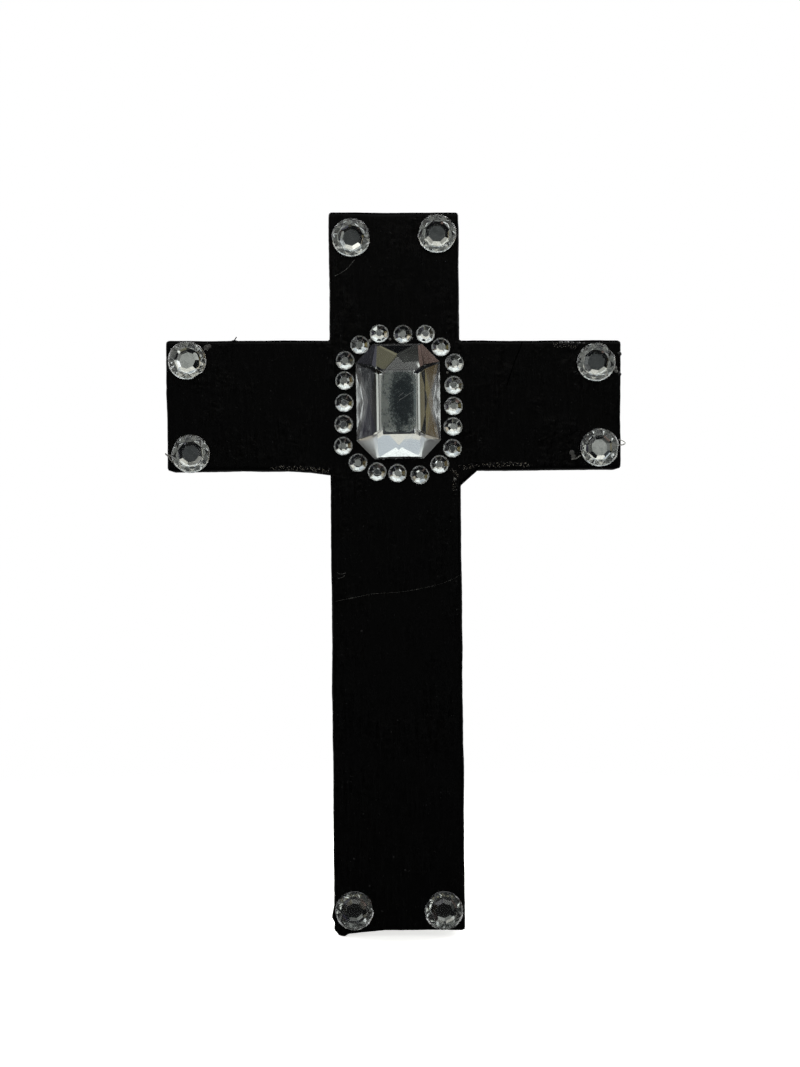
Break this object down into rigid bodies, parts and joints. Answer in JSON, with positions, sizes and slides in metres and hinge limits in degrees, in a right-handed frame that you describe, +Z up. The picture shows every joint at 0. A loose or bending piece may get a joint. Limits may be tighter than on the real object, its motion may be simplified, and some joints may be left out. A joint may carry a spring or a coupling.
{
  "type": "wall cross",
  "caption": "Hand-sawn wooden wall cross painted black, with clear foil-backed stones at the arm ends and a ringed octagonal gem at the crossing; fixes flat by its back.",
  "frame": {"origin": "on the flat back face of the board, behind the middle of the crossing, where it meets the wall", "axes": "+Z up along the upright, +Y out of the back into the wall so the face looks along -Y, +X to the right seen from the front"},
  "size_m": [0.0965, 0.017, 0.1539],
  "materials": {
    "painted_wood": "brush-painted black, satin",
    "clear_acrylic": "moulded clear, polished facets over a silver foil back",
    "silver_foil": "thin reflective coating on the stones' backs",
    "craft_glue": "clear hot-melt glue, drawn into threads"
  },
  "bodies": {
    "root": {"cross_board": "painted_wood", "center_gem": "clear_acrylic", "large_stone_top_left": "clear_acrylic", "large_stone_top_right": "clear_acrylic", "large_stone_left_upper": "clear_acrylic", "large_stone_left_lower": "clear_acrylic", "large_stone_right_upper": "clear_acrylic", "large_stone_right_lower": "clear_acrylic", "large_stone_foot_left": "clear_acrylic", "large_stone_foot_right": "clear_acrylic", "ring_stone_01": "clear_acrylic", "ring_stone_02": "clear_acrylic", "ring_stone_03": "clear_acrylic", "ring_stone_04": "clear_acrylic", "ring_stone_05": "clear_acrylic", "ring_stone_06": "clear_acrylic", "ring_stone_07": "clear_acrylic", "ring_stone_08": "clear_acrylic", "ring_stone_09": "clear_acrylic", "ring_stone_10": "clear_acrylic", "ring_stone_11": "clear_acrylic", "ring_stone_12": "clear_acrylic", "ring_stone_13": "clear_acrylic", "ring_stone_14": "clear_acrylic", "ring_stone_15": "clear_acrylic", "ring_stone_16": "clear_acrylic", "ring_stone_17": "clear_acrylic", "ring_stone_18": "clear_acrylic", "ring_stone_19": "clear_acrylic", "ring_stone_20": "clear_acrylic"}
  },
  "joints": []
}
